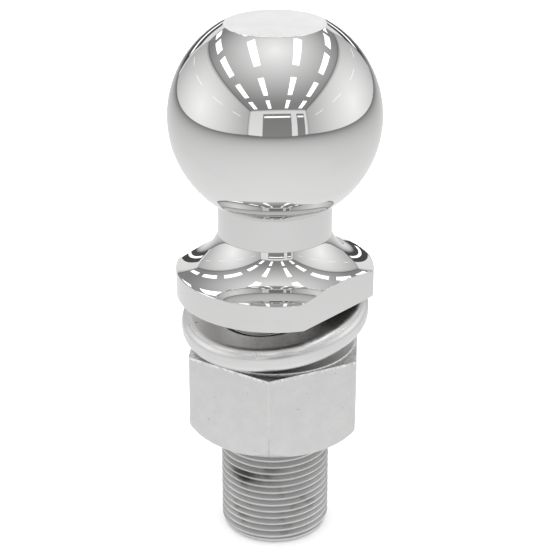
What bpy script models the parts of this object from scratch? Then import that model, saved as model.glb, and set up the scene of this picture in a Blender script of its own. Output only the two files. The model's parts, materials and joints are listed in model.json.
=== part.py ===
"""A trailer hitch ball: chromed ball, neck and flange on a threaded shank, with a helical
spring lock washer and a hex nut.

Metres, +Z up. The part stands on the end of its shank: the origin is the centre of that end
face, and +Z runs up the shank's axis to the ball. The front is -Y.
"""

import math

import bmesh
import bpy
from mathutils import Matrix

MM = 0.001
INCH = 0.0254

# ball, neck and flange
BALL_DIAMETER = 2.3125 * INCH
TOP_FLAT_DIAMETER = 27.7 * MM
NECK_DIAMETER = 32.0 * MM
NECK_LENGTH = 9.0 * MM  # straight part, from the ball down to the shoulder
SHOULDER_HEIGHT = 10.6 * MM  # from the rim's top edge up to the crease at the neck
SHOULDER_RADIUS = 15.0 * MM  # of its hollow curve
FLANGE_DIAMETER = 55.9 * MM
FLANGE_THICKNESS = 7.8 * MM  # at the rim
FLANGE_ACROSS_FLATS = 46.9 * MM
FLAT_AZIMUTH = math.radians(-41.4)  # direction that one wrench flat faces

# shank and its thread, an inch thread of 12 turns to the inch
SHANK_DIAMETER = 1.25 * INCH
SHANK_LENGTH = 75.0 * MM  # below the flange
SHANK_TAPER = 2.6 * MM  # height of the tapered end
SHANK_END_INSET = 1.7 * MM  # radial, at the foot of the taper
PLAIN_SHANK = 8.0 * MM  # unthreaded length under the flange
THREAD_PITCH = INCH / 12
THREAD_ALLOWANCE = 0.08 * MM  # the crests stand this far inside the plain shank's radius
FLANK_ANGLE = math.radians(30)  # each flank from a plane square to the axis
THREAD_CLEARANCE = 0.2 * MM  # square to the flanks, between shank and nut
CREST_CLEARANCE = 0.25 * MM  # radial, at crest and root

# spring lock washer, in its free shape: one turn of a left-hand coil that also leans
WASHER_WIDTH = 10.2 * MM
WASHER_THICKNESS = 7.2 * MM
WASHER_ROUNDING = 2.9 * MM  # of the section's outer corners
WASHER_BORE_CLEARANCE = 0.6 * MM
WASHER_RISE = 3.3 * MM  # how far one end stands above the other
WASHER_LEAN = 4.3 * MM  # how far the leaning ring goes above and below level
LEAN_AZIMUTH = math.radians(38.5)  # direction of the high side
SPLIT_AZIMUTH = math.radians(120)
SPLIT_GAP = 1.5 * MM

# nut
NUT_ACROSS_FLATS = 47.2 * MM
NUT_HEIGHT = 27.3 * MM  # bearing face included
BEARING_FACE_HEIGHT = 0.4 * MM
BEARING_FACE_INSET = 0.5 * MM  # from the flats
NUT_ROUNDING = 8.4 * MM  # radius of the turned rounding of its lower corners
NUT_AZIMUTH = math.radians(-93.7)  # direction of one corner

SEAT_GAP = 0.3 * MM  # between faces that touch
CUT_OVER = 1.0 * MM  # how far a cutter runs past what it cuts
ENVELOPE_SPARE = 0.25 * MM  # how far the nut's turned envelope clears its corners and bottom
SPARE_TURNS = 2  # of a thread, past each end of what it is joined to or cut from
ROUNDING_LIMIT = 0.45  # of the washer's thickness, so that its two roundings never meet
SHARP_ANGLE = math.radians(18)  # edges steeper than this are shaded sharp
HEIGHT_TRIES = 720  # places round the washer where its height is looked up
ROUND_STEPS = 48
THREAD_STEPS = 24  # sides to a turn, on the shank and in the nut
WASHER_STEPS = 72
ARC_STEP = math.radians(7.5)  # arcs of the turned outlines

# what follows from the sizes above
BALL_RADIUS = BALL_DIAMETER / 2
NECK_RADIUS = NECK_DIAMETER / 2
FLANGE_RADIUS = FLANGE_DIAMETER / 2
SHANK_RADIUS = SHANK_DIAMETER / 2
BALL_DROP = math.sqrt(BALL_RADIUS**2 - NECK_RADIUS**2)  # centre to the neck's top
SEAT_Z = SHANK_LENGTH
RIM_Z = SEAT_Z + FLANGE_THICKNESS
NECK_FOOT_Z = RIM_Z + SHOULDER_HEIGHT
BALL_Z = NECK_FOOT_Z + NECK_LENGTH + BALL_DROP
THREAD_TOP_Z = SEAT_Z - PLAIN_SHANK
THREAD_FLAT = THREAD_PITCH / 8  # at the shank's crest and root
SHARP_HEIGHT = THREAD_PITCH / 2 / math.tan(FLANK_ANGLE)  # of the thread without its flats
THREAD_ROOT_RADIUS = SHANK_RADIUS - SHARP_HEIGHT * 6 / 8
TRIM_DEPTH = (SPARE_TURNS + 3) * THREAD_PITCH  # below the shank, past the thread's spare turns
NUT_THREAD_DEPTH = SHARP_HEIGHT * 5 / 8
WASHER_INNER_RADIUS = SHANK_RADIUS + WASHER_BORE_CLEARANCE


def circle_arc(centre, radius, start, end, step=ARC_STEP):
    """Points (r, z) of an arc in the turning plane, both ends included."""
    steps = math.ceil(abs(end - start) / step)
    angles = [start + (end - start) * i / steps for i in range(steps + 1)]
    return [(centre[0] + radius * math.cos(a), centre[1] + radius * math.sin(a)) for a in angles]


def hollow_arc(top, bottom, radius):
    """An arc that sags between two points, the upper one nearer the axis. A radius too small
    to reach both is raised to half their distance."""
    across, down = bottom[0] - top[0], top[1] - bottom[1]
    chord = math.hypot(across, down)
    radius = max(radius, chord / 2)
    lift = math.sqrt(radius**2 - chord**2 / 4) / chord
    centre_r = (top[0] + bottom[0]) / 2 + down * lift
    centre_z = (top[1] + bottom[1]) / 2 + across * lift
    start = math.atan2(top[1] - centre_z, top[0] - centre_r)
    end = math.atan2(bottom[1] - centre_z, bottom[0] - centre_r)
    return circle_arc((centre_r, centre_z), radius, start, end)


def collection(name):
    made = bpy.data.collections.new(name)
    bpy.context.scene.collection.children.link(made)
    return made


def mesh_object(name, bm, group):
    mesh = bpy.data.meshes.new(name)
    bm.to_mesh(mesh)
    bm.free()
    made = bpy.data.objects.new(name, mesh)
    group.objects.link(made)
    return made


def turned(name, outline, group, steps=ROUND_STEPS):
    """A solid of revolution about Z. The outline runs from the top down its outer side."""
    bm = bmesh.new()
    points = [bm.verts.new((r, 0, z)) for r, z in outline]
    for upper, lower in zip(points, points[1:]):
        bm.edges.new((upper, lower))
    made = mesh_object(name, bm, group)
    screw = made.modifiers.new("Turn", "SCREW")
    screw.steps = screw.render_steps = steps
    screw.use_merge_vertices = True
    screw.merge_threshold = 0.00001
    return made


def threaded_rod(name, crest, root, clearance, start_z, turns, group):
    """A right-hand threaded rod. A groove is centred at start_z at azimuth 0, and the
    clearance, along the axis, is taken off each side of its grooves."""
    bm = bmesh.new()
    foot = groove_half(root) - clearance
    mouth = groove_half(crest) - clearance
    section = [(root, -foot), (root, foot), (crest, mouth)]
    section += [(crest, THREAD_PITCH - mouth), (root, THREAD_PITCH - foot)]
    points = [bm.verts.new((r, 0, start_z + z)) for r, z in section]
    line = [bm.edges.new(pair) for pair in zip(points, points[1:])]
    bmesh.ops.spin(
        bm,
        geom=points + line,
        axis=(0, 0, 1),
        dvec=(0, 0, THREAD_PITCH / THREAD_STEPS),
        angle=math.tau * turns,
        steps=THREAD_STEPS * turns,
    )
    bmesh.ops.remove_doubles(bm, verts=bm.verts, dist=0.000001)
    close_and_face_out(bm)
    return as_cutter(mesh_object(name, bm, group))


def groove_half(radius):
    """Half the width of the shank's groove at a radius."""
    return THREAD_FLAT / 2 + (radius - THREAD_ROOT_RADIUS) * math.tan(FLANK_ANGLE)


def close_and_face_out(bm):
    open_edges = [e for e in bm.edges if e.is_boundary]
    bmesh.ops.holes_fill(bm, edges=open_edges)
    bmesh.ops.recalc_face_normals(bm, faces=bm.faces)


def as_cutter(tool):
    tool.hide_render = True
    tool.display_type = "WIRE"
    return tool


def boolean(target, tool, operation):
    step = target.modifiers.new(tool.name, "BOOLEAN")
    step.operation = operation
    step.solver = "EXACT"
    step.object = tool


def finish(made, colour, metallic, roughness):
    """Give a part its material, and shade it smooth but for its real edges."""
    material = bpy.data.materials.new(made.name)
    material.use_nodes = True
    shader = material.node_tree.nodes["Principled BSDF"]
    shader.inputs["Base Color"].default_value = (*colour, 1)
    shader.inputs["Metallic"].default_value = metallic
    shader.inputs["Roughness"].default_value = roughness
    made.data.materials.append(material)
    made.data.shade_smooth()
    made.data.set_sharp_from_angle(angle=SHARP_ANGLE)


def hitch_ball(parts, cutters):
    """Ball, neck, flange and threaded shank: one forging, turned, threaded and chromed."""
    flat_radius = TOP_FLAT_DIAMETER / 2
    upper = math.acos(flat_radius / BALL_RADIUS)
    lower = -math.acos(NECK_RADIUS / BALL_RADIUS)
    outline = [(0, BALL_Z + BALL_RADIUS * math.sin(upper))]
    outline += circle_arc((0, BALL_Z), BALL_RADIUS, upper, 0)
    outline += circle_arc((0, BALL_Z), BALL_RADIUS, 0, lower)[1:]
    outline += hollow_arc((NECK_RADIUS, NECK_FOOT_Z), (FLANGE_RADIUS, RIM_Z), SHOULDER_RADIUS)
    outline += [(FLANGE_RADIUS, SEAT_Z), (SHANK_RADIUS, SEAT_Z)]
    outline += [(SHANK_RADIUS, THREAD_TOP_Z), (0, THREAD_TOP_Z)]
    ball = turned("hitch_ball", outline, parts)

    flat_distance = FLANGE_ACROSS_FLATS / 2
    cutter_foot = SEAT_Z - CUT_OVER
    cutter_size = (FLANGE_RADIUS, FLANGE_DIAMETER + CUT_OVER, NECK_FOOT_Z - cutter_foot)
    for side in (0, math.pi):
        bm = bmesh.new()
        bmesh.ops.create_cube(bm, size=1)
        bmesh.ops.scale(bm, vec=cutter_size, verts=bm.verts)
        bmesh.ops.translate(bm, vec=(flat_distance + FLANGE_RADIUS / 2, 0, 0), verts=bm.verts)
        flat = as_cutter(mesh_object("wrench_flat_cutter", bm, cutters))
        flat.location.z = (cutter_foot + NECK_FOOT_Z) / 2
        flat.rotation_euler.z = FLAT_AZIMUTH + side
        boolean(ball, flat, "DIFFERENCE")

    crest = SHANK_RADIUS - THREAD_ALLOWANCE
    turns = math.floor(THREAD_TOP_Z / THREAD_PITCH)
    start = -SPARE_TURNS * THREAD_PITCH
    turns += 2 * SPARE_TURNS
    thread = threaded_rod("thread", crest, THREAD_ROOT_RADIUS, 0, start, turns, cutters)
    boolean(ball, thread, "UNION")

    outside = SHANK_RADIUS + CUT_OVER
    taper_top = SHANK_TAPER + CUT_OVER * SHANK_TAPER / SHANK_END_INSET
    outline = [(0, 0), (SHANK_RADIUS - SHANK_END_INSET, 0), (outside, taper_top)]
    outline += [(outside, -TRIM_DEPTH), (0, -TRIM_DEPTH)]
    end_trim = as_cutter(turned("shank_end_cutter", outline, cutters))
    boolean(ball, end_trim, "DIFFERENCE")
    finish(ball, (0.80, 0.80, 0.81), 1.0, 0.08)
    return ball


def washer_shift(azimuth):
    """Height of the washer's section at an azimuth, from SPLIT_AZIMUTH - 360 deg up to it."""
    fall = WASHER_RISE * (azimuth - SPLIT_AZIMUTH + math.pi) / math.tau
    return WASHER_LEAN * math.cos(azimuth - LEAN_AZIMUTH) - fall


def washer_reach():
    """How far the washer's faces reach above and below its origin."""
    azimuths = [SPLIT_AZIMUTH - math.tau * i / HEIGHT_TRIES for i in range(HEIGHT_TRIES + 1)]
    shifts = [washer_shift(azimuth) for azimuth in azimuths]
    return max(shifts) + WASHER_THICKNESS / 2, -min(shifts) + WASHER_THICKNESS / 2


def lock_washer(parts, z):
    """A rounded section spun almost a full turn, then lifted into its coil and its lean."""
    bm = bmesh.new()
    inner = WASHER_INNER_RADIUS
    outer = inner + WASHER_WIDTH
    half = WASHER_THICKNESS / 2
    rounding = min(WASHER_ROUNDING, ROUNDING_LIMIT * WASHER_THICKNESS)
    coarse = 3 * ARC_STEP
    section = [(inner, half), (inner, -half)]
    section += circle_arc((outer - rounding, rounding - half), rounding, -math.pi / 2, 0, coarse)
    section += circle_arc((outer - rounding, half - rounding), rounding, 0, math.pi / 2, coarse)
    opening = SPLIT_GAP / inner
    start = SPLIT_AZIMUTH - math.tau + opening / 2
    corners = [bm.verts.new((r, 0, h)) for r, h in section]
    loop = [bm.edges.new((a, b)) for a, b in zip(corners, corners[1:] + corners[:1])]
    bmesh.ops.spin(bm, geom=corners + loop, axis=(0, 0, 1), angle=math.tau - opening, steps=WASHER_STEPS)
    for vert in bm.verts:
        azimuth = start + math.atan2(vert.co.y, vert.co.x) % math.tau
        vert.co.z += washer_shift(azimuth)
    bmesh.ops.rotate(bm, matrix=Matrix.Rotation(start, 3, "Z"), verts=bm.verts)
    close_and_face_out(bm)
    washer = mesh_object("lock_washer", bm, parts)
    washer.location.z = z
    finish(washer, (0.66, 0.66, 0.66), 1.0, 0.30)
    return washer


def hex_nut(parts, cutters, z):
    """A hexagon trimmed by a turned envelope, bored and threaded. Its origin is the centre of
    its bearing face, at height z."""
    across_corners = NUT_ACROSS_FLATS / math.cos(math.pi / 6)
    bm = bmesh.new()
    bmesh.ops.create_cone(
        bm,
        cap_ends=True,
        segments=6,
        radius1=across_corners / 2,
        radius2=across_corners / 2,
        depth=NUT_HEIGHT,
        matrix=Matrix.Translation((0, 0, -NUT_HEIGHT / 2)),
    )
    corner = next(v.co for v in bm.verts)
    turn = NUT_AZIMUTH - math.atan2(corner.y, corner.x)
    bmesh.ops.rotate(bm, matrix=Matrix.Rotation(turn, 3, "Z"), verts=bm.verts)
    nut = mesh_object("hex_nut", bm, parts)

    over = CUT_OVER
    outside = across_corners / 2 + ENVELOPE_SPARE
    face_radius = NUT_ACROSS_FLATS / 2 - BEARING_FACE_INSET
    below = -NUT_HEIGHT - ENVELOPE_SPARE
    rounding_centre = (outside - NUT_ROUNDING, below + NUT_ROUNDING)
    outline = [(0, over), (face_radius, over), (face_radius, -BEARING_FACE_HEIGHT)]
    outline += [(outside, -BEARING_FACE_HEIGHT)]
    outline += circle_arc(rounding_centre, NUT_ROUNDING, 0, -math.pi / 2, 2 * ARC_STEP)
    outline += [(0, below)]
    envelope = as_cutter(turned("nut_envelope", outline, cutters))

    bore = SHANK_RADIUS - NUT_THREAD_DEPTH + CREST_CLEARANCE
    lead_in = SHANK_RADIUS + CREST_CLEARANCE + over
    taper = lead_in - bore
    outline = [(0, over), (lead_in, over), (bore, over - taper), (bore, taper - over - NUT_HEIGHT)]
    outline += [(lead_in, -NUT_HEIGHT - over), (0, -NUT_HEIGHT - over)]
    hole = as_cutter(turned("nut_bore_cutter", outline, cutters, THREAD_STEPS))

    turns = math.ceil(NUT_HEIGHT / THREAD_PITCH)
    in_step = -z % THREAD_PITCH  # lines the nut's ridges up with the shank's grooves
    start = in_step - (turns + SPARE_TURNS) * THREAD_PITCH
    turns += 2 * SPARE_TURNS
    play = THREAD_CLEARANCE / math.cos(FLANK_ANGLE)
    root = SHANK_RADIUS + CREST_CLEARANCE
    thread = threaded_rod("nut_thread_cutter", root, bore, play, start, turns, cutters)

    for tool in (envelope, hole, thread):
        tool.location.z = z
    boolean(nut, envelope, "INTERSECT")
    boolean(nut, hole, "DIFFERENCE")
    boolean(nut, thread, "DIFFERENCE")
    nut.location.z = z
    finish(nut, (0.68, 0.68, 0.68), 1.0, 0.42)
    return nut


def main():
    for leftover in list(bpy.data.objects):
        bpy.data.objects.remove(leftover)
    parts = collection("trailer_hitch_ball")
    cutters = collection("cutters")

    reach_up, reach_down = washer_reach()
    washer_z = SEAT_Z - SEAT_GAP - reach_up
    bearing_z = washer_z - reach_down - SEAT_GAP

    hitch_ball(parts, cutters)
    washer = lock_washer(parts, washer_z)
    nut = hex_nut(parts, cutters, bearing_z)

    # the washer and the nut keep their places on the shank's axis under one empty
    axis = bpy.data.objects.new("shank_axis", None)
    parts.objects.link(axis)
    washer.parent = axis
    nut.parent = axis


main()
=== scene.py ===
# %% [markdown]
# A trailer hitch ball is three pieces of steel. A chromed forging carries the ball, its neck, a
# flange with two wrench flats and a threaded shank. A split lock washer and a big hex nut hang
# on the shank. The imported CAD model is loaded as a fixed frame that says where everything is,
# and every size below is measured on it, so that the fine surfaces always fit the design.

import json
import math

import bmesh
import bpy
from mathutils import Matrix, Vector


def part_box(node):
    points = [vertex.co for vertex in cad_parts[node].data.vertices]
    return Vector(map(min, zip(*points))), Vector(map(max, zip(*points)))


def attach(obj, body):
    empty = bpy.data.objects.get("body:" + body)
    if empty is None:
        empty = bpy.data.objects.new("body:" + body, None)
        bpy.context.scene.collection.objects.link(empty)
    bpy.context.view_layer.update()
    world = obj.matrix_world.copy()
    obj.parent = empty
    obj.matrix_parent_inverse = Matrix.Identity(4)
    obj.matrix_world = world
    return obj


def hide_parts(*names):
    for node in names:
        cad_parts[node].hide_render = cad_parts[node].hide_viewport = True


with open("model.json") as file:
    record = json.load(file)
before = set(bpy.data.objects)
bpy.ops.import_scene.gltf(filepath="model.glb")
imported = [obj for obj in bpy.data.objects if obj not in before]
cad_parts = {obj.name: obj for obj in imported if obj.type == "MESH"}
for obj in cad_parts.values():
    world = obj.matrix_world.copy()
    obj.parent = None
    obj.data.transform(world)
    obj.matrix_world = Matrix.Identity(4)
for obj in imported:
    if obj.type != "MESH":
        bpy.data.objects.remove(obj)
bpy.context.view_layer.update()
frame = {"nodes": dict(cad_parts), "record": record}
MM = 0.001
UP = Vector((0, 0, 1))

# %% [markdown]
# Most of this object is turned on a lathe, so its sizes are pairs: a distance from the axis and
# a height. The frame's corners give them. The ball's widest ring is its radius, the narrowest
# ring above the flange is the neck, and so on down to the crests and roots of the thread.


# %% Sizes of the forging, measured on the frame
def rings(node):
    """Each corner of a CAD node as its distance from the shank's axis and its height."""
    corners = frame["nodes"][node].data.vertices
    return [(math.hypot(corner.co.x, corner.co.y), corner.co.z) for corner in corners]


def widest(pairs, low, high):
    return max(r for r, z in pairs if low <= z <= high)


NEAR = 0.01 * MM
END_TAPER = 5 * MM  # heights below this may lie on the shank's tapered end
forging = rings("hitch_ball")
TOP_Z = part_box("hitch_ball")[1].z
BALL_RADIUS = widest(forging, 0, TOP_Z)
TOP_FLAT_RADIUS = widest(forging, TOP_Z - NEAR, TOP_Z)
BALL_Z = TOP_Z - math.sqrt(BALL_RADIUS**2 - TOP_FLAT_RADIUS**2)
NECK_RADIUS = min(r for r, z in forging if BALL_Z - BALL_RADIUS < z < BALL_Z)
NECK_FOOT_Z = min(z for r, z in forging if abs(r - NECK_RADIUS) < NEAR)
FLANGE_RADIUS = widest(forging, 0, NECK_FOOT_Z)
SEAT_Z = min(z for r, z in forging if abs(r - FLANGE_RADIUS) < NEAR and z < NECK_FOOT_Z)
RIM_Z = max(z for r, z in forging if abs(r - FLANGE_RADIUS) < NEAR and z < NECK_FOOT_Z)
SHANK_RADIUS = widest(forging, 0, SEAT_Z - MM)
THREAD_TOP_Z = max(z for r, z in forging if abs(r - SHANK_RADIUS) < NEAR and z < SEAT_Z - MM)
CREST_RADIUS = widest(forging, 0, THREAD_TOP_Z - MM)
ROOT_RADIUS = min(r for r, z in forging if END_TAPER < z < THREAD_TOP_Z - MM)
SHANK_END_RADIUS = widest(forging, 0, NEAR)
print("in metres: ball", BALL_RADIUS, "at", BALL_Z, "flat", TOP_FLAT_RADIUS, "neck", NECK_RADIUS)
print("flange", FLANGE_RADIUS, "from", SEAT_Z, "to", RIM_Z, "neck foot", NECK_FOOT_Z)
print("shank", SHANK_RADIUS, "crest", CREST_RADIUS, "root", ROOT_RADIUS, "end", SHANK_END_RADIUS)

# %% [markdown]
# What the corners don't say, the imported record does. A mount on a wrench flat gives the flat's
# direction and its distance from the axis. The coupling between the nut's turn and its travel
# is the thread: the travel in one whole turn is the pitch.

# %% Flats and thread, from the record
mounts = {mount["name"]: mount for mount in frame["record"]["mounts"]}


def flat_of(name):
    """The direction that a wrench flat faces, and its distance from the axis."""
    facing = Vector(mounts[name]["axis"])
    return facing, facing.dot(Vector(mounts[name]["pos_m"]))


FLANGE_FACING, FLANGE_FLAT = flat_of("flange_wrench_flat")
NUT_FACING, NUT_FLAT = flat_of("nut_wrench_flat")
PITCH = frame["record"]["behaviour"]["couplings"][0]["ratio"] * math.tau
THREAD_FLAT = PITCH / 8
FLANK_ANGLE = math.radians(30)
FLANK = math.tan(FLANK_ANGLE)
print("pitch and flats, mm:", [round(size / MM, 4) for size in (PITCH, FLANGE_FLAT, NUT_FLAT)])

# %% [markdown]
# A turned piece starts as an outline: a chain of points and edges in the X-Z plane, from the
# axis at the top, down the outside, and back to the axis. Real corners are never quite sharp,
# so a vertex bevel rounds them on the outline, where it costs almost nothing. One spin then
# makes the solid. Its first and last sections are merged, and so are the points on the axis.

# %% Tools for turned solids
TURN_STEPS = 192
ARC_STEP = math.radians(1.5)
SAME_POINT = 0.0001 * MM


def arc(centre, radius, start, end, step=ARC_STEP):
    """Points of an arc in the X-Z plane, both ends included."""
    steps = math.ceil(abs(end - start) / step)
    angles = [start + (end - start) * i / steps for i in range(steps + 1)]
    return [(centre[0] + radius * math.cos(a), centre[1] + radius * math.sin(a)) for a in angles]


def outline(points, closed=False):
    """A new bmesh that holds one chain of points (r, z). Returns it with its corners."""
    bm = bmesh.new()
    corners = [bm.verts.new((r, 0, z)) for r, z in points]
    for first, second in zip(corners, corners[1:] + corners[:1] if closed else corners[1:]):
        bm.edges.new((first, second))
    return bm, corners


def round_off(bm, corners, radius, segments=3):
    """Round some corners of an outline."""
    bmesh.ops.bevel(
        bm,
        geom=corners,
        offset=radius,
        segments=segments,
        profile=0.5,
        affect="VERTICES",
        material=-1,
    )


def bevel_edges(bm, edges, offset, segments=2, clamp=False):
    """Round some edges of a solid. Clamping stops a bevel that would run into another."""
    bmesh.ops.bevel(
        bm,
        geom=edges,
        offset=offset,
        segments=segments,
        profile=0.5,
        affect="EDGES",
        material=-1,
        clamp_overlap=clamp,
    )


def turn(bm, steps=TURN_STEPS):
    """Spin an outline once round the axis, close its seam and poles, and face it outwards."""
    everything = bm.verts[:] + bm.edges[:]
    bmesh.ops.spin(
        bm, geom=everything, axis=UP, cent=(0, 0, 0), angle=math.tau, steps=steps, use_merge=True
    )
    bmesh.ops.remove_doubles(bm, verts=bm.verts, dist=SAME_POINT)
    bmesh.ops.recalc_face_normals(bm, faces=bm.faces)


def solid(name, bm):
    """Turn a finished bmesh into an object. Its place is in its mesh."""
    mesh = bpy.data.meshes.new(name)
    bm.to_mesh(mesh)
    bm.free()
    made = bpy.data.objects.new(name, mesh)
    bpy.context.scene.collection.objects.link(made)
    return made


# %% [markdown]
# The upper forging is one outline: the machined flat, the ball's arc, the straight neck, the
# hollow shoulder that spreads into the flange, the rim, the seat and the plain length of shank.
# The shoulder is part of a circle through two known points, the crease at the neck's foot and
# the rim's top edge, so its centre follows from its radius. The sphere meets the neck at a
# clean corner, which shows as a crisp ring under the ball, so that corner is left alone. The
# crease and the corners that a hand would feel are rounded a little.

# %% The upper forging
EDGE_BREAK = 0.25 * MM
FINE_BREAK = 0.12 * MM
SHOULDER_RADIUS = 15.0 * MM

upper = math.acos(TOP_FLAT_RADIUS / BALL_RADIUS)
lower = -math.acos(NECK_RADIUS / BALL_RADIUS)
crease, rim = Vector((NECK_RADIUS, NECK_FOOT_Z)), Vector((FLANGE_RADIUS, RIM_Z))
chord = rim - crease
lift = math.sqrt(SHOULDER_RADIUS**2 - chord.length_squared / 4)
hollow = (crease + rim) / 2 + Vector((-chord.y, chord.x)).normalized() * lift
first, last = crease - hollow, rim - hollow
points = [(0, TOP_Z)]
points += arc((0, BALL_Z), BALL_RADIUS, upper, 0)
points += arc((0, BALL_Z), BALL_RADIUS, 0, lower)[1:]
shoulder_start = len(points)
points += arc(hollow, SHOULDER_RADIUS, math.atan2(first.y, first.x), math.atan2(last.y, last.x))
shoulder_end = len(points) - 1
points += [(FLANGE_RADIUS, SEAT_Z), (SHANK_RADIUS, SEAT_Z)]
points += [(SHANK_RADIUS, THREAD_TOP_Z), (0, THREAD_TOP_Z)]
bm, corners = outline(points)
top_edge, seat_edge = corners[1], corners[shoulder_end + 1]
round_off(bm, [top_edge, corners[shoulder_start], corners[shoulder_end]], FINE_BREAK)
round_off(bm, [seat_edge], EDGE_BREAK)
turn(bm)
print("upper forging:", len(bm.faces), "faces")

# %% [markdown]
# Two opposite sides of the flange are milled flat for a wrench. The mill is a plane: bisect
# cuts the flange's faces along it and drops what lies outside, and one new face fills the hole.
# The plane also crosses the ball, so only the faces of the flange and its shoulder are given
# to it. The new edges get a small bevel, as a real edge is dressed after milling.


# %% The wrench flats
SLIVER = 0.03 * MM


def mill_flat(bm, facing, distance, low, high):
    """Cut one flat into the faces between two heights, and break its edges."""
    faces = [f for f in bm.faces if low < f.calc_center_median().z < high]
    near = set(faces)
    for face in faces:
        near.update(face.edges)
        near.update(face.verts)
    cut = bmesh.ops.bisect_plane(
        bm, geom=list(near), plane_co=facing * distance, plane_no=facing, clear_outer=True
    )
    cut_points = [v for v in cut["geom_cut"] if isinstance(v, bmesh.types.BMVert)]
    bmesh.ops.remove_doubles(bm, verts=cut_points, dist=SLIVER)
    open_edges = [e for e in bm.edges if e.is_boundary]
    bmesh.ops.holes_fill(bm, edges=open_edges)
    bevel_edges(bm, open_edges, FINE_BREAK, clamp=True)


for side in (1, -1):
    mill_flat(bm, FLANGE_FACING * side, FLANGE_FLAT, SEAT_Z - MM, NECK_FOOT_Z)
bmesh.ops.recalc_face_normals(bm, faces=bm.faces)
print("open edges after milling:", sum(1 for edge in bm.edges if edge.is_boundary))
forging_piece = solid("hitch_ball_chromed", bm)

# %% [markdown]
# A thread is one tooth swept along a helix. Spin can do that too: its dvec argument lifts the
# section a little at each step, one pitch in a whole turn. One turn is spun, and copies of it
# are stacked a pitch apart, which is much quicker than one long spin. The section is exactly
# one pitch high, so all turns join when doubled points are merged. The tooth's crest gets two
# tiny bevels, because they catch the light as a bright line on every turn.


# %% The threaded rod
THREAD_STEPS = 96
SPARE_TURNS = 2
CREST_BREAK = 0.07 * MM
TURN_JOIN = 0.0005 * MM


def threaded_rod(crest, root, play, low, high):
    """A closed threaded rod from below one height to above another. Its grooves are those of
    the shank, made narrower by a play along the axis on each side."""
    foot = THREAD_FLAT / 2 + (root - ROOT_RADIUS) * FLANK - play
    mouth = THREAD_FLAT / 2 + (crest - ROOT_RADIUS) * FLANK - play
    start = (math.floor(low / PITCH) - SPARE_TURNS) * PITCH
    turns = math.ceil((high - low) / PITCH) + 2 * SPARE_TURNS
    section = [(root, -foot), (root, foot), (crest, mouth)]
    section += [(crest, PITCH - mouth), (root, PITCH - foot)]
    bm, corners = outline([(r, start + z) for r, z in section])
    round_off(bm, corners[2:4], CREST_BREAK, segments=2)
    everything = bm.verts[:] + bm.edges[:]
    lift = UP * PITCH / THREAD_STEPS
    bmesh.ops.spin(
        bm, geom=everything, axis=UP, cent=(0, 0, 0), dvec=lift, angle=math.tau, steps=THREAD_STEPS
    )
    one_turn = bm.verts[:] + bm.edges[:] + bm.faces[:]
    for number in range(1, turns):
        copied = bmesh.ops.duplicate(bm, geom=one_turn)["geom"]
        moved = [v for v in copied if isinstance(v, bmesh.types.BMVert)]
        bmesh.ops.translate(bm, vec=UP * PITCH * number, verts=moved)
    bmesh.ops.remove_doubles(bm, verts=bm.verts, dist=TURN_JOIN)
    bmesh.ops.holes_fill(bm, edges=[e for e in bm.edges if e.is_boundary])
    bmesh.ops.recalc_face_normals(bm, faces=bm.faces)
    return solid("threaded_rod", bm)


# %% [markdown]
# Two solids are combined with a Boolean modifier. The manifold solver is the quick one, and it
# only works on closed solids, which every piece here is. Its result is read back as a plain
# mesh. Where two surfaces all but touch, it leaves edges too short to see, so those are
# dissolved. Sharp edges are then broken with a bevel, found by the angle between their faces.


# %% Combining solids and breaking edges
TINY_EDGE = 0.002 * MM
CLOSE_POINTS = 0.005 * MM
SHARP_CORNER = math.radians(25)


def combine(piece, tool, operation):
    """Join, cut or trim one solid by another for good, and put the tool away."""
    step = piece.modifiers.new("combine", "BOOLEAN")
    step.operation = operation
    step.solver = "MANIFOLD"
    step.object = tool
    graph = bpy.context.evaluated_depsgraph_get()
    made = bpy.data.meshes.new_from_object(piece.evaluated_get(graph))
    piece.modifiers.clear()
    piece.data = made
    bm = bmesh.new()
    bm.from_mesh(made)
    bmesh.ops.dissolve_degenerate(bm, edges=bm.edges, dist=TINY_EDGE)
    bm.to_mesh(made)
    bm.free()
    bpy.data.objects.remove(tool)
    print(piece.name, operation.lower(), "->", len(made.polygons), "faces")


def break_edges(piece, offset, angle=SHARP_CORNER, below=math.inf):
    """Bevel the edges of a mesh that are sharper than an angle and lie below a height."""
    bm = bmesh.new()
    bm.from_mesh(piece.data)
    bmesh.ops.remove_doubles(bm, verts=bm.verts, dist=CLOSE_POINTS)
    low = [e for e in bm.edges if max(v.co.z for v in e.verts) < below]
    sharp = [e for e in low if e.calc_face_angle(0) > angle]
    bevel_edges(bm, sharp, offset)
    bm.to_mesh(piece.data)
    bm.free()
    print(piece.name, "edges broken:", len(sharp))


# %% [markdown]
# The rod is joined to the forging by a Boolean union, with its spare turns hidden inside the
# plain length of shank. The shank's end is then faced and tapered by a turned cutter, which
# leaves the true ragged start of the thread, as a lathe does. The taper runs in below the
# thread's roots, and the edge of the end face is broken with a file.

# %% The shank
SHANK_TAPER = 2.6 * MM

thread = threaded_rod(CREST_RADIUS, ROOT_RADIUS, 0, 0, THREAD_TOP_Z)
combine(forging_piece, thread, "UNION")

outside = SHANK_RADIUS + MM
deep = -(SPARE_TURNS + 3) * PITCH  # past the thread's spare turns
taper_top = SHANK_TAPER * (outside - SHANK_END_RADIUS) / (SHANK_RADIUS - SHANK_END_RADIUS)
points = [(0, 0), (SHANK_END_RADIUS, 0), (outside, taper_top), (outside, deep), (0, deep)]
bm, corners = outline(points)
turn(bm)
combine(forging_piece, solid("end_cutter", bm), "DIFFERENCE")
break_edges(forging_piece, EDGE_BREAK, below=NEAR)

# %% [markdown]
# A split lock washer is cut from a coil of wire with a rounded section. Its section is a
# rectangle whose outer corners are rounded far more than its inner ones. It is spun almost a
# full turn, and each point is then lifted by how far round it is: the coil rises from one cut
# end to the other, and the free washer leans on the shank.

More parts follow.
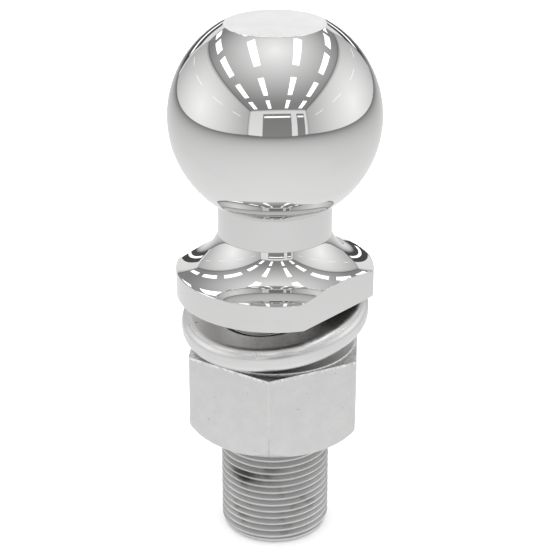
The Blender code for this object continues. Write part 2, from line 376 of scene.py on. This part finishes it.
# %% The lock washer
WASHER_THICKNESS = 7.2 * MM
WASHER_ROUNDING = 2.9 * MM
WASHER_INNER_ROUNDING = 0.6 * MM
WASHER_RISE = 3.3 * MM
WASHER_LEAN = 4.3 * MM
LEAN_AZIMUTH = math.radians(38.5)
SPLIT_AZIMUTH = math.radians(120)
SPLIT_GAP = 1.5 * MM
CUT_END_BREAK = 0.2 * MM
WASHER_STEPS = 240
HEIGHT_TRIES = 720

washer_rings = rings("lock_washer")
WASHER_INNER = min(r for r, z in washer_rings)
WASHER_OUTER = max(r for r, z in washer_rings)


def washer_shift(azimuth):
    """How high the section sits at an azimuth, on the one turn that ends at the split."""
    fall = WASHER_RISE * (azimuth - SPLIT_AZIMUTH + math.pi) / math.tau
    return WASHER_LEAN * math.cos(azimuth - LEAN_AZIMUTH) - fall


opening = SPLIT_GAP / WASHER_INNER
start = SPLIT_AZIMUTH - math.tau + opening / 2
sweep = math.tau - opening
highest = max(washer_shift(start + sweep * i / HEIGHT_TRIES) for i in range(HEIGHT_TRIES + 1))
half = WASHER_THICKNESS / 2
washer_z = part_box("lock_washer")[1].z - highest - half
points = [(WASHER_INNER, half), (WASHER_INNER, -half), (WASHER_OUTER, -half), (WASHER_OUTER, half)]
bm, corners = outline(points, closed=True)
round_off(bm, corners[:2], WASHER_INNER_ROUNDING)
round_off(bm, corners[2:], WASHER_ROUNDING, segments=10)
everything = bm.verts[:] + bm.edges[:]
bmesh.ops.spin(bm, geom=everything, axis=UP, cent=(0, 0, 0), angle=sweep, steps=WASHER_STEPS)
for vert in bm.verts:
    vert.co.z += washer_z + washer_shift(start + math.atan2(vert.co.y, vert.co.x) % math.tau)
bmesh.ops.rotate(bm, matrix=Matrix.Rotation(start, 3, "Z"), cent=(0, 0, 0), verts=bm.verts)
ends = [e for e in bm.edges if e.is_boundary]
bmesh.ops.holes_fill(bm, edges=ends)
bmesh.ops.recalc_face_normals(bm, faces=bm.faces)
bevel_edges(bm, ends, CUT_END_BREAK)
bmesh.ops.recalc_face_normals(bm, faces=bm.faces)
washer_piece = solid("lock_washer_zinc", bm)
print("washer:", len(washer_piece.data.polygons), "faces")

# %% [markdown]
# The nut starts as a six-sided prism. A lathe then cuts its ends: a big rounding below that
# turns each flat's lower edge into an arc, and a thin round bearing face above. That turned
# envelope is kept where it overlaps the prism, and every edge is broken with a bevel before the
# hole is bored, so the thread keeps its own edges.

# %% The nut's body
BEARING_FACE_HEIGHT = 0.4 * MM
BEARING_FACE_INSET = 0.5 * MM
NUT_ROUNDING = 8.4 * MM
ENVELOPE_SPARE = 0.25 * MM
ROUNDING_STEP = math.radians(5)
CORNER_BREAK = 0.6 * MM

nut_low, nut_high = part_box("hex_nut")[0].z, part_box("hex_nut")[1].z
corner_radius = NUT_FLAT / math.cos(math.pi / 6)
bm = bmesh.new()
bmesh.ops.create_cone(
    bm,
    cap_ends=True,
    segments=6,
    radius1=corner_radius,
    radius2=corner_radius,
    depth=nut_high - nut_low,
    matrix=Matrix.Translation((0, 0, (nut_low + nut_high) / 2)),
)
first = next(iter(bm.verts)).co
facing = math.atan2(NUT_FACING.y, NUT_FACING.x)
spin_by = facing - math.pi / 6 - math.atan2(first.y, first.x)
bmesh.ops.rotate(bm, matrix=Matrix.Rotation(spin_by, 3, "Z"), cent=(0, 0, 0), verts=bm.verts)
upright = [e for e in bm.edges if abs(e.verts[0].co.z - e.verts[1].co.z) > MM]
bevel_edges(bm, upright, CORNER_BREAK, segments=4)
nut_piece = solid("hex_nut_zinc", bm)

outside = corner_radius + ENVELOPE_SPARE
below = nut_low - ENVELOPE_SPARE
shoulder = nut_high - BEARING_FACE_HEIGHT
rounding_centre = (outside - NUT_ROUNDING, below + NUT_ROUNDING)
points = [(0, nut_high + MM), (NUT_FLAT - BEARING_FACE_INSET, nut_high + MM)]
points += [(NUT_FLAT - BEARING_FACE_INSET, shoulder), (outside, shoulder)]
points += arc(rounding_centre, NUT_ROUNDING, 0, -math.pi / 2, ROUNDING_STEP) + [(0, below)]
bm, corners = outline(points)
turn(bm)
combine(nut_piece, solid("nut_envelope", bm), "INTERSECT")

# %% [markdown]
# The bore is a plain hole with a lead-in at each end, a little wider than the shank's roots.
# The same threaded rod as the shank's, grown by a small clearance all round, then cuts the
# thread, so the nut's ridges stand in the shank's grooves without touching them.

# %% The nut's edges, bore and thread
NUT_EDGE_BREAK = 0.13 * MM
NUT_SHARP_CORNER = math.radians(14)
NUT_BORE = ROOT_RADIUS + 0.48 * MM
NUT_ROOT = SHANK_RADIUS + 0.25 * MM
LEAD_IN = 1.4 * MM
FLANK_CLEARANCE = 0.2 * MM  # square to the thread's flanks

break_edges(nut_piece, NUT_EDGE_BREAK, NUT_SHARP_CORNER)
bm, corners = outline(
    [
        (0, nut_high + MM),
        (NUT_BORE + LEAD_IN + MM, nut_high + MM),
        (NUT_BORE, nut_high - LEAD_IN),
        (NUT_BORE, nut_low + LEAD_IN),
        (NUT_BORE + LEAD_IN + MM, nut_low - MM),
        (0, nut_low - MM),
    ]
)
turn(bm, THREAD_STEPS)
combine(nut_piece, solid("bore_cutter", bm), "DIFFERENCE")
play = FLANK_CLEARANCE / math.cos(FLANK_ANGLE)
combine(nut_piece, threaded_rod(NUT_ROOT, NUT_BORE, play, nut_low, nut_high), "DIFFERENCE")

# %% [markdown]
# Each piece takes the place of its CAD node and rides on that node's body. Shading is smooth across
# small angles and sharp across large ones, and weighted normals keep the big flat faces flat right
# up to their tiny bevels.

# %% Riding on the frame
SHARP = math.radians(50)


def fit_out(piece, node, body):
    piece.data.shade_smooth()
    piece.data.set_sharp_from_angle(angle=SHARP)
    weighted = piece.modifiers.new("flat faces stay flat", "WEIGHTED_NORMAL")
    weighted.keep_sharp = True
    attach(piece, body)
    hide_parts(node)
    print(piece.name, "stands for", node, "and moves with", body)


fit_out(forging_piece, "hitch_ball", "ball")
fit_out(washer_piece, "lock_washer", "washer")
fit_out(nut_piece, "hex_nut", "nut")

# %% [markdown]
# Materials are graphs of nodes, and most of a graph is arithmetic. This small class wraps one
# output socket, so that the arithmetic can be written as Python: an expression on values adds
# its Math nodes. Anything else comes from its one node method, which sets a new node's own
# settings first and then fills or links its sockets.


# %% Shader maths as expressions
class Value:
    """One output of a material's nodes, which can be added, multiplied and compared."""

    def __init__(self, socket):
        self.socket = socket

    def node(self, kind, settings, sockets, output=0):
        tree = self.socket.id_data
        made = tree.nodes.new(kind)
        for name, setting in settings.items():
            setattr(made, name, setting)
        for name, value in sockets.items():
            if isinstance(value, Value):
                tree.links.new(value.socket, made.inputs[name])
            else:
                made.inputs[name].default_value = value
        return Value(made.outputs[output])

    def math(self, operation, first, second=0.0):
        return self.node("ShaderNodeMath", {"operation": operation}, {0: first, 1: second})

    def __add__(self, other):
        return self.math("ADD", self, other)

    def __radd__(self, other):
        return self.math("ADD", other, self)

    def __sub__(self, other):
        return self.math("SUBTRACT", self, other)

    def __rsub__(self, other):
        return self.math("SUBTRACT", other, self)

    def __mul__(self, other):
        return self.math("MULTIPLY", self, other)

    def __rmul__(self, other):
        return self.math("MULTIPLY", other, self)

    def __truediv__(self, other):
        return self.math("DIVIDE", self, other)

    def __pow__(self, other):
        return self.math("POWER", self, other)

    def __abs__(self):
        return self.math("ABSOLUTE", self)


def wave(value):
    """A sine wave of a value in radians."""
    return value.math("SINE", value)


def fade(value, start, end):
    """0 before start and 1 past end, with a soft passage between them."""
    sockets = {"Value": value, "From Min": start, "From Max": end}
    return value.node("ShaderNodeMapRange", {"interpolation_type": "SMOOTHSTEP"}, sockets)


def noise(where, scale, detail=2.0):
    """Soft random values round 0.5. The scale is in blobs per metre."""
    return where.node("ShaderNodeTexNoise", {}, {"Vector": where, "Scale": scale, "Detail": detail})


def stretched(where, x, y, z):
    """The same places, with each axis scaled, so that a pattern on them turns into streaks."""
    return where.node("ShaderNodeMapping", {}, {"Vector": where, "Scale": (x, y, z)})


def blend(mask, first, second):
    """The first colour where the mask is 0 and the second where it is 1.

    A Mix node has sockets for every kind of value. The colours are its inputs 6 and 7 and its
    output 2.
    """
    return mask.node("ShaderNodeMix", {"data_type": "RGBA"}, {0: mask, 6: first, 7: second}, 2)


def bump(height, depth, strength=1.0):
    sockets = {"Height": height, "Distance": depth, "Strength": strength}
    return height.node("ShaderNodeBump", {}, sockets)


def grey(level, warmth=0.0):
    """A nearly neutral colour. Warmth moves it from blue towards red."""
    return (level * (1 + warmth), level, level * (1 - warmth), 1)


# %% [markdown]
# Every finish starts the same way: a new material, its Principled shader, and the piece's own
# coordinates in metres. Those coordinates don't move when the piece does, so the pattern stays
# on the metal while the nut is screwed along the shank.


# %% Starting and finishing a metal
def metal(name):
    """A new metallic material. Returns it with where a point is: its place, x, y and z."""
    material = bpy.data.materials.new(name)
    material.use_nodes = True
    nodes = material.node_tree.nodes
    nodes["Principled BSDF"].inputs["Metallic"].default_value = 1.0
    place = Value(nodes.new("ShaderNodeTexCoord").outputs["Object"])
    axes = [place.node("ShaderNodeSeparateXYZ", {}, {0: place}, i) for i in range(3)]
    return material, place, axes


def apply_to_shader(material, **inputs):
    """Link values to the Principled shader's sockets, or set plain numbers on them."""
    shader = material.node_tree.nodes["Principled BSDF"]
    for name, value in inputs.items():
        socket = shader.inputs[name.replace("_", " ").title()]
        if isinstance(value, Value):
            material.node_tree.links.new(value.socket, socket)
        else:
            socket.default_value = value
    return material


# %% [markdown]
# Polished chrome is nearly a mirror that keeps about seven tenths of the light. What gives it
# away as metal and not as a perfect render is very small: a plating ripple a few thousandths of
# a millimetre deep, and smears of handling that only change the gloss.


# %% Chrome plate
def mirror_chrome():
    material, place, _ = metal("mirror_chrome")
    smears = fade(noise(stretched(place, 1, 1, 3), 45, 4), 0.52, 0.72)
    haze = fade(noise(place, 260, 3), 0.45, 0.8)
    ripple = noise(place, 420, 1)
    return apply_to_shader(
        material,
        base_color=blend(smears, grey(0.725, 0.004), grey(0.705, 0.008)),
        roughness=0.02 + 0.02 * smears + 0.015 * haze,
        normal=bump(ripple, 0.001 * MM, 0.4),
    )


# %% [markdown]
# The flat on top of the ball is left as the lathe made it. A facing cut leaves very fine rings
# round the axis, so its height is a wave of the distance from the axis, broken up with noise.


# %% The machined flat
FACING_FEED = 0.35 * MM


def faced_steel():
    material, place, (x, y, _) = metal("faced_steel")
    distance = (x * x + y * y) ** 0.5
    wobble = noise(place, 300, 2)
    rings_cut = wave(distance * (math.tau / FACING_FEED) + wobble * 2)
    cloud = fade(noise(place, 120, 3), 0.35, 0.7)
    return apply_to_shader(
        material,
        base_color=blend(cloud, grey(0.94, 0.003), grey(0.90, 0.004)),
        metallic=0.94,
        roughness=0.42 + 0.08 * cloud,
        normal=bump(rings_cut, 0.004 * MM, 0.5),
    )


# %% [markdown]
# Chrome doesn't reach the bottom of a thread as well as its crests, and crests are burnished by
# every nut that passes. So the thread is duller with depth. Its grooves are also painted darker in
# patches, partly grime and partly painted shade in the recesses, and its crests are painted
# brighter in patches, partly burnished metal and partly a painted highlight. A little old oil sits
# in two grooves below the nut, with a fainter smear where a thumb has wiped it round.

# %% Thread
OIL_PLACE = Vector((-9.2 * MM, -11.8 * MM, 21.3 * MM))


def thread_metal():
    material, place, (x, y, z) = metal("thread_satin_chrome")
    distance = (x * x + y * y) ** 0.5
    crest = fade(distance, CREST_RADIUS - 0.3 * MM, CREST_RADIUS - 0.04 * MM)
    streaks = noise(stretched(place, 1, 1, 6), 240, 4)
    # painted shade: patches of darker colour only in the grooves, away from the crests; partly
    # grime
    grime_and_groove_shade = fade(noise(place, 170, 3), 0.56, 0.72) * (1 - crest)
    spread = noise(place, 350, 3) * 6 * MM
    dx, dy, dz = x - OIL_PLACE.x, y - OIL_PLACE.y, (z - OIL_PLACE.z) * 2.6
    reach = (dx * dx + dy * dy + dz * dz) ** 0.5 + spread
    oil = fade(reach, 9.5 * MM, 5.0 * MM) * (1 - crest * 0.6)
    smear = fade(reach, 18 * MM, 7 * MM) * (1 - crest * 0.4)
    # painted highlight: the crests are made brighter in patches; partly burnished chrome
    burnish_and_highlight = crest * (0.5 + 0.5 * fade(noise(place, 110, 2), 0.4, 0.6))
    plain = blend(burnish_and_highlight, grey(0.56, 0.004), grey(0.67, 0.004))
    dirt_and_groove_shade = blend(grime_and_groove_shade * 0.5 + smear * 0.3, plain, grey(0.28, 0.02))
    return apply_to_shader(
        material,
        base_color=blend(oil * 0.8, dirt_and_groove_shade, grey(0.10, 0.04)),
        roughness=0.34 - 0.12 * crest + 0.12 * streaks,
        normal=bump(streaks, 0.01 * MM, 0.5),
    )


# %% [markdown]
# Bright zinc is softer to the eye than chrome: a satin metal with faint clouds where the bath left
# the coat thicker. The washer is smooth on its rounded outside, where it catches broad highlights.
# Its flat faces were rolled and cut, so they are duller, browner and streaked. They are also
# painted darker than the zinc, partly their own colour and partly painted shade for the shadow
# under the flange, and their left side is painted much lighter again, a painted light.


# %% Zinc on the washer
def washer_zinc():
    material, place, (x, _, _) = metal("washer_zinc")
    normal = Value(place.socket.node.outputs["Normal"])
    level = abs(normal.node("ShaderNodeSeparateXYZ", {}, {0: normal}, 2))
    flat = fade(level, 0.9, 0.985)
    clouds = fade(noise(place, 150, 4), 0.3, 0.7)
    rolled = noise(stretched(place, 1, 1, 0.2), 900, 3)
    pits = fade(noise(place, 480, 1), 0.73, 0.78)
    side = blend(clouds, grey(0.76, 0.003), grey(0.73, 0.004))
    # painted shade: the flat faces are darker than the zinc, for the shadow under the flange;
    # partly their own browner, rolled colour
    face = blend(fade(rolled, 0.3, 0.7), grey(0.50, 0.014), grey(0.40, 0.018))
    # painted light: the left side of the flat faces is made much lighter
    lit_left_side = fade(x, -2 * MM, -22 * MM)
    face = blend(lit_left_side, face, grey(0.92, 0.008))
    return apply_to_shader(
        material,
        base_color=blend(pits * flat * 0.7, blend(flat, side, face), grey(0.18, 0.03)),
        roughness=0.27 + 0.03 * clouds + 0.14 * flat,
        normal=bump(rolled * flat, 0.006 * MM, 0.25),
    )


# %% [markdown]
# The nut is zinc too, but over a forged surface, so it is duller and mottled at two scales: the
# forging's own skin a few millimetres across, and the fine grain of the coat. Its edges are knocked
# and rubbed, and the top edge of each face also carries a bright irregular line, partly rubbed zinc
# and partly a painted highlight. The mask for them is worked out from the hexagon itself: how far a
# point is from the nearest corner, and from the top edge of its face.


# %% Zinc on the nut
def nut_zinc():
    material, place, (x, y, z) = metal("nut_zinc")
    sixth = math.pi / 3
    angle = x.math("ARCTAN2", y, x) - (facing - math.pi / 6)
    turned = angle.math("PINGPONG", angle, sixth / 2)
    distance = (x * x + y * y) ** 0.5
    from_corner = distance * turned.math("SINE", turned)
    chips = noise(place, 520, 4)
    skin = fade(noise(place, 260, 5), 0.3, 0.7)
    grain = noise(place, 1700, 2)
    lines = noise(stretched(place, 1, 1, 0.12), 700, 2)
    top_edge = fade(z, nut_high - 1.5 * MM, nut_high - 0.8 * MM)
    top_edge = top_edge * fade(distance, NUT_FLAT - 1.2 * MM, NUT_FLAT)
    corner = fade(from_corner + chips * 1.1 * MM, 0.9 * MM, 0.5 * MM)
    nicks = corner * fade(z, nut_high - 14 * MM, nut_high - 22 * MM)
    # painted highlight: a bright irregular line along the top edge of each face; partly rubbed zinc
    rub_and_highlight = top_edge * fade(noise(place, 1100, 3), 0.4, 0.62)
    speckle = blend(fade(grain, 0.35, 0.65), grey(0.70, 0.002), grey(0.725, 0.003))
    coat = blend(skin * 0.35, speckle, grey(0.68, 0.003))
    specks = fade(noise(place, 800, 1), 0.72, 0.78)
    bright_corner = blend(corner * 0.6, coat, grey(0.80, 0.002))
    knocked = blend(nicks * 0.55 + specks * 0.4, bright_corner, grey(0.36, 0.01))
    return apply_to_shader(
        material,
        base_color=blend(rub_and_highlight, knocked, grey(0.93, 0.002)),
        roughness=0.42 + 0.1 * skin - 0.12 * rub_and_highlight,
        normal=bump(skin * 0.35 + grain * 0.3 + lines * 0.25, 0.02 * MM, 0.3),
    )


# %% [markdown]
# A piece can wear several finishes. Every face of a mesh has the number of the material that it
# shows, so the ball's faces are sorted by height: the flat on top, the thread, and the rest.


# %% Putting the finishes on
def by_height(z):
    if z > TOP_Z - NEAR:
        return 1
    return 2 if z < THREAD_TOP_Z else 0


def wear(piece, materials, choose=lambda z: 0):
    piece.data.materials.clear()
    for material in materials:
        piece.data.materials.append(material)
    for face in piece.data.polygons:
        face.material_index = choose(face.center.z)


wear(forging_piece, [mirror_chrome(), faced_steel(), thread_metal()], by_height)
wear(washer_piece, [washer_zinc()])
wear(nut_piece, [nut_zinc()])
print("finishes:", [m.name for m in bpy.data.materials])

# %% [markdown]
# Chrome has no look of its own. It shows the room, so the room is the light. This studio is a
# plain one: a pale floor, pale walls that are brightest abreast of the object, a greyer
# ceiling with rows of light panels, and dark doorways that give the mirror something black to
# show. Nothing but the floor is seen by the camera. The walls glow by themselves, which keeps
# reflections clean, and their glow fades with distance as a wall lit by lamps does. The whole
# room is turned a few degrees, because nobody sets a ball down exactly square to the walls.

# %% The studio's sizes
CEILING = 1.27
ROOM_TURN = math.radians(3.4)
FLOOR_DROP = BALL_Z
HALF_WIDTH = 1.3 * CEILING
DEPTH = 2.15 * CEILING


def glow(name, strength_of):
    """A material that only gives light. strength_of works out how much from x, y and z."""
    material = bpy.data.materials.new(name)
    material.use_nodes = True
    nodes = material.node_tree.nodes
    nodes.clear()
    place = Value(nodes.new("ShaderNodeTexCoord").outputs["Object"])
    axes = [place.node("ShaderNodeSeparateXYZ", {}, {0: place}, i) for i in range(3)]
    light = place.node("ShaderNodeEmission", {}, {"Strength": strength_of(*axes)})
    surface = nodes.new("ShaderNodeOutputMaterial").inputs["Surface"]
    material.node_tree.links.new(light.socket, surface)
    return material


def sheet(bm, middle, across, along):
    """Add one flat rectangle, from its middle and its two full sides."""
    across, along = Vector(across), Vector(along)
    axes = Matrix((across, along, across.cross(along).normalized())).transposed()
    place = Matrix.Translation(middle) @ axes.to_4x4()
    bmesh.ops.create_grid(bm, x_segments=1, y_segments=1, size=0.5, matrix=place)


def stage_piece(name, sheets, material, seen=False):
    """Make rectangles into one object of the studio."""
    bm = bmesh.new()
    for rectangle in sheets:
        sheet(bm, *rectangle)
    made = solid(name, bm)
    made.data.materials.append(material)
    made.visible_camera = seen
    made.visible_shadow = seen
    made.rotation_euler.z = ROOM_TURN
    return made


# %% [markdown]
# Heights in the studio are counted from the ball's centre and sizes in ceiling heights, because
# that is how a mirror ball sees a room. The glow of a surface is a base level, plus a pool of
# light that fades to nothing at its reach, and a soft dark line where two surfaces meet.

# %% Walls and ceiling
ceiling_z = FLOOR_DROP + CEILING
wall_middle = ceiling_z / 2


def pool(distance, reach, power):
    """A pool of light: 1 at its middle, 0 at its reach."""
    return distance.math("MAXIMUM", 1 - distance / reach, 0.0) ** power


def corner_shade(distance):
    """Darkens a surface near its edge."""
    return 0.62 + 0.38 * fade(distance, 0, 0.09 * CEILING)


def ceiling_light(x, y, z):
    distance = (x * x + y * y) ** 0.5
    edge = corner_shade(HALF_WIDTH - abs(x)) * corner_shade(DEPTH - abs(y))
    return (0.3 + 0.92 * pool(distance, 1.9 * CEILING, 1.85)) * edge


def side_wall_light(x, y, z):
    rise = z - FLOOR_DROP - 0.2 * CEILING
    distance = (y * y + rise * rise) ** 0.5
    edge = corner_shade(ceiling_z - z) * corner_shade(DEPTH - abs(y))
    return (0.6 + 0.63 * pool(distance, 2.2 * CEILING, 1.6)) * edge


def end_wall_light(x, y, z):
    edge = corner_shade(ceiling_z - z) * corner_shade(HALF_WIDTH - abs(x))
    return (1.02 - 0.08 * z / CEILING) * edge


width, depth, height = (2 * HALF_WIDTH, 0, 0), (0, 2 * DEPTH, 0), (0, 0, ceiling_z)
sides = [((side * HALF_WIDTH, 0, wall_middle), depth, height) for side in (-1, 1)]
ends = [((0, side * DEPTH, wall_middle), width, height) for side in (-1, 1)]
ceiling = [((0, 0, ceiling_z), width, depth)]
stage_piece("studio_ceiling", ceiling, glow("ceiling_glow", ceiling_light))
stage_piece("studio_side_walls", sides, glow("side_wall_glow", side_wall_light))
stage_piece("studio_end_walls", ends, glow("end_wall_glow", end_wall_light))
print("studio, m:", [round(side, 2) for side in (width[0], depth[1], height[2])])

# %% [markdown]
# Four rows of panels run along the ceiling, a narrow gap between one panel and the next. The
# doorways are dark rectangles just in front of the near wall, and two darker openings stand at
# the far wall. Each has a bar of light across it, and thin bright strips run along both sides.

# %% Panels, doorways and strips
PANEL_COLUMNS = [(-0.93, 0.16), (-0.32, 0.125), (0.335, 0.125), (0.93, 0.16)]
PANEL_ROWS = [(-1.715, 0.57), (-0.8825, 0.595), (0.025, 0.63), (0.9, 0.6), (1.75, 0.55)]
PROUD = 0.01
panels = [
    ((x * CEILING, y * CEILING, ceiling_z - PROUD), (wide * CEILING, 0, 0), (0, long * CEILING, 0))
    for x, wide in PANEL_COLUMNS
    for y, long in PANEL_ROWS
]
stage_piece("studio_panels", panels, glow("panel_glow", lambda x, y, z: 2.2))


def upright_sheet(left, right, low, high, y, proud=PROUD):
    """A rectangle that faces along Y, from its edges in ceiling heights."""
    low_z = max(FLOOR_DROP + low * CEILING, 0)
    high_z = FLOOR_DROP + high * CEILING
    middle = ((left + right) / 2 * CEILING, y * (DEPTH - proud), (low_z + high_z) / 2)
    return middle, ((right - left) * CEILING, 0, 0), (0, 0, high_z - low_z)


doorways = [
    upright_sheet(-0.62, 0.53, -1, 0.81, -1),
    upright_sheet(0.77, 1.13, -1, 0.81, -1),
]
openings = [
    upright_sheet(-1.13, -0.18, -1, 0.55, 1),
    upright_sheet(0.42, 1.28, -1, 0.55, 1),
]
bars = [
    upright_sheet(-0.565, 0.495, 0.645, 0.71, -1, 2 * PROUD),
    upright_sheet(0.81, 1.09, 0.645, 0.71, -1, 2 * PROUD),
    upright_sheet(-1.05, -0.26, 0.15, 0.28, 1, 2 * PROUD),
    upright_sheet(0.50, 1.2, 0.15, 0.28, 1, 2 * PROUD),
]
doorway_glow = glow("doorway_dark", lambda x, y, z: 0.31 - 0.05 * z / CEILING)
opening_glow = glow("opening_dark", lambda x, y, z: 0.09 - 0.01 * z / CEILING)
stage_piece("studio_doorways", doorways, doorway_glow)
stage_piece("studio_openings", openings, opening_glow)
stage_piece("studio_door_bars", bars, glow("bar_glow", lambda x, y, z: 1.8))

STRIP_HEIGHT = 0.52
STRIPS = [(-1.29, 0.43), (-0.425, 0.39), (0.47, 0.42), (1.45, 0.5)]
strips = [
    (
        (side * (HALF_WIDTH - PROUD), y * CEILING, FLOOR_DROP + STRIP_HEIGHT * CEILING),
        (0, length * CEILING, 0),
        (0, 0, 0.017 * CEILING),
    )
    for side in (-1, 1)
    for y, length in STRIPS
]
stage_piece("studio_wall_strips", strips, glow("strip_glow", lambda x, y, z: 1.35))
print("lights:", len(panels), "panels,", len(bars), "bars and", len(strips), "strips")

# %% [markdown]
# The floor is made twice. The camera sees a plain pale sheet that takes a soft shadow. The
# mirror sees a second sheet just under it, which glows white by the object and fades towards
# the walls, so that the lower half of the ball darkens towards its horizon.


# %% Floor
def floor_light(x, y, z):
    distance = (x * x + y * y * 0.64) ** 0.5
    return 0.24 + 0.76 * pool(distance, 1.35 * CEILING, 1.52)


FLOOR_GAP = 0.05 * MM
FLOOR_SIDE = 8.0
glow_sheet = [((0, 0, -MM), width, depth)]
paper_sheet = [((0, 0, -FLOOR_GAP), (FLOOR_SIDE, 0, 0), (0, FLOOR_SIDE, 0))]
stage_piece("studio_floor_in_mirror", glow_sheet, glow("floor_glow", floor_light))
paper = bpy.data.materials.new("pale_paper")
paper.use_nodes = True
apply_to_shader(paper, base_color=grey(0.9), roughness=0.9)
paper.node_tree.nodes["Principled BSDF"].inputs["Specular IOR Level"].default_value = 0.0
floor = stage_piece("studio_floor", paper_sheet, paper, seen=True)
floor.visible_glossy = False
print("the floor's top is", FLOOR_GAP / MM, "mm below the part")

# %% [markdown]
# One broad lamp overhead lights the floor evenly. Metal doesn't mirror it, because the panels
# already do that work, so it is hidden from glossy rays.

# %% Lamp and surroundings
LAMP_SIZE = 1.6
LAMP_WATTS = 30
LAMP_DROP = 0.1
lamp = bpy.data.lights.new("broad_lamp", "AREA")
lamp.shape = "DISK"
lamp.size = LAMP_SIZE
lamp.energy = LAMP_WATTS
lamp_object = bpy.data.objects.new("broad_lamp", lamp)
lamp_object.location = (0, 0, ceiling_z - LAMP_DROP)
lamp_object.visible_glossy = False
bpy.context.scene.collection.objects.link(lamp_object)

world = bpy.data.worlds.new("white_surround")
world.use_nodes = True
world.node_tree.nodes["Background"].inputs["Color"].default_value = (1, 1, 1, 1)
bpy.context.scene.world = world
bpy.context.scene.view_settings.view_transform = "Standard"
print("lamp:", LAMP_WATTS, "W,", LAMP_SIZE, "m across")

# %% [markdown]
# The camera stands close in front and above, with a long lens, and looks down at the object by
# about a quarter of a right angle. Its place is counted from the ball's centre.

# %% Camera
CAMERA_BACK = 0.4325
CAMERA_RISE = 0.147
CAMERA_TILT = math.radians(65.8)  # 0 would look straight down, 90 degrees level
SENSOR_WIDTH = 36  # the sensor and the lens are in millimetres
LENS = 109.64
camera_data = bpy.data.cameras.new("camera")
camera_data.sensor_width = SENSOR_WIDTH
camera_data.lens = LENS
camera = bpy.data.objects.new("camera", camera_data)
camera.location = (0, -CAMERA_BACK, BALL_Z + CAMERA_RISE)
camera.rotation_euler = (CAMERA_TILT, 0, 0)
bpy.context.scene.collection.objects.link(camera)
bpy.context.scene.camera = camera
print("camera at", [round(c, 4) for c in camera.location], "m")
